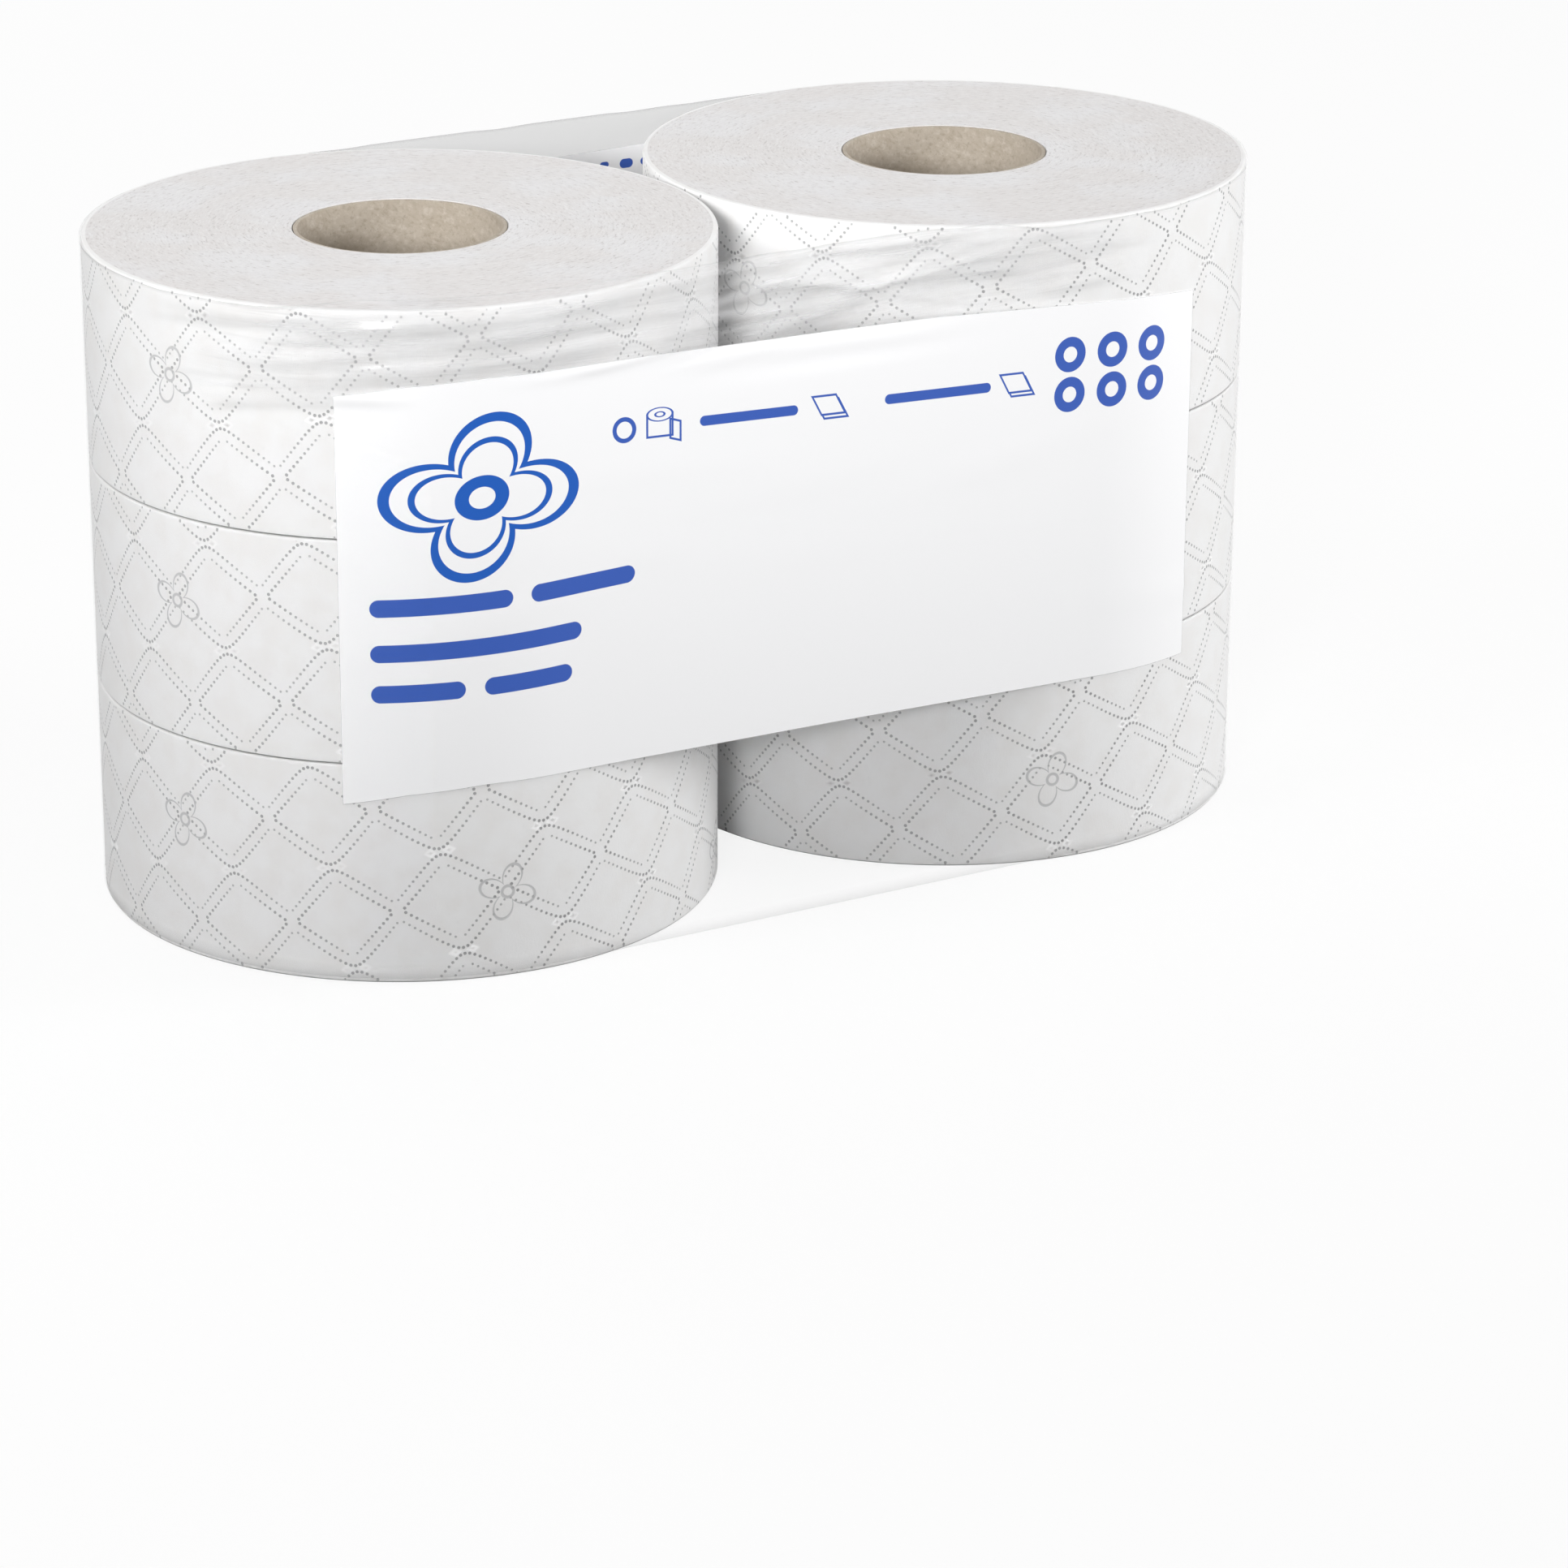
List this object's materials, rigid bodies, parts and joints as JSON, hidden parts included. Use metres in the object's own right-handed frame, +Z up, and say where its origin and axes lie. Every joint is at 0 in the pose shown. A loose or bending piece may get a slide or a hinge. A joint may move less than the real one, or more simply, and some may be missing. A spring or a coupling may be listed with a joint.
{
  "type": "toilet paper roll pack",
  "caption": "Film-wrapped pack of jumbo toilet rolls in two side-by-side stacks, cardboard cores open at top and bottom, printed panels on the clear sleeve.",
  "frame": {"origin": "centre of the pack's outline on the plane it stands on", "axes": "+Z up along the roll axes, +X from the left stack to the right stack, -Y towards the printed front panel"},
  "size_m": [0.4716, 0.2354, 0.2578],
  "materials": {
    "tissue": "matte embossed tissue paper",
    "core_board": "spiral-wound recycled cardboard",
    "clear_film": "clear glossy film with printed white panels"
  },
  "bodies": {
    "root": {"winding_left_bottom": "tissue", "winding_left_middle": "tissue", "winding_left_top": "tissue", "winding_right_bottom": "tissue", "winding_right_middle": "tissue", "winding_right_top": "tissue", "core_left_bottom": "core_board", "core_left_middle": "core_board", "core_left_top": "core_board", "core_right_bottom": "core_board", "core_right_middle": "core_board", "core_right_top": "core_board", "film_wrap": "clear_film"}
  },
  "joints": []
}
